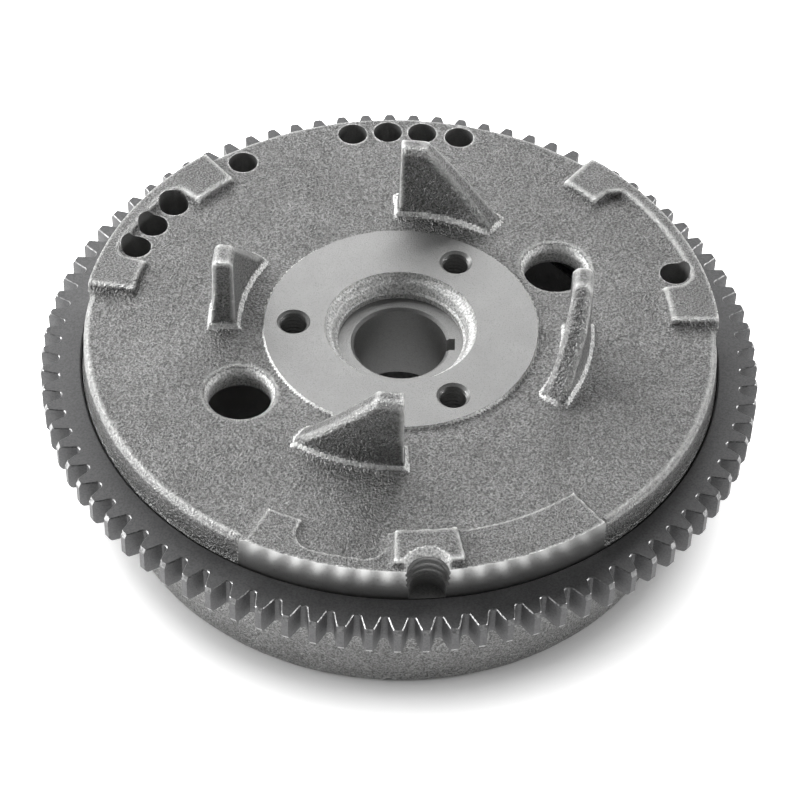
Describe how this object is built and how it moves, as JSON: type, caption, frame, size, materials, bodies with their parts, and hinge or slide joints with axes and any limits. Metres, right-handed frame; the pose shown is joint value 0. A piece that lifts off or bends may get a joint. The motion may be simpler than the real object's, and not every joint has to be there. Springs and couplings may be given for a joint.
{
  "type": "flywheel",
  "caption": "Cast iron engine flywheel with a starter ring gear, machined keyed hub, sloping fan vanes, balance lugs along its rim, and alternator magnets inside its cup.",
  "frame": {"origin": "on the crank axis, in the plane of the cup's open rim, which is the face the flywheel stands on", "axes": "+Z along the crank axis from the cup's rim towards the hub face and fan vanes; +X from the axis through the keyway; +Y completes the right-handed set"},
  "size_m": [0.1841, 0.1842, 0.0716],
  "materials": {
    "cast_iron": "bare sand-cast grey iron, machined on the hub face, bore and lug walls",
    "gear_steel": "dark machined and oiled steel",
    "ferrite": "ground sintered ferrite",
    "cage_nylon": "moulded glass-filled nylon",
    "ring_steel": "plain pressed steel",
    "sleeve_steel": "drawn stainless sheet"
  },
  "bodies": {
    "root": {"flywheel_body": "cast_iron", "ring_gear": "gear_steel", "magnet_01": "ferrite", "magnet_02": "ferrite", "magnet_03": "ferrite", "magnet_04": "ferrite", "magnet_05": "ferrite", "magnet_06": "ferrite", "magnet_07": "ferrite", "magnet_08": "ferrite", "magnet_09": "ferrite", "magnet_10": "ferrite", "magnet_11": "ferrite", "magnet_12": "ferrite", "magnet_cage": "cage_nylon", "magnet_base_ring": "ring_steel", "magnet_sleeve": "sleeve_steel"}
  },
  "joints": []
}
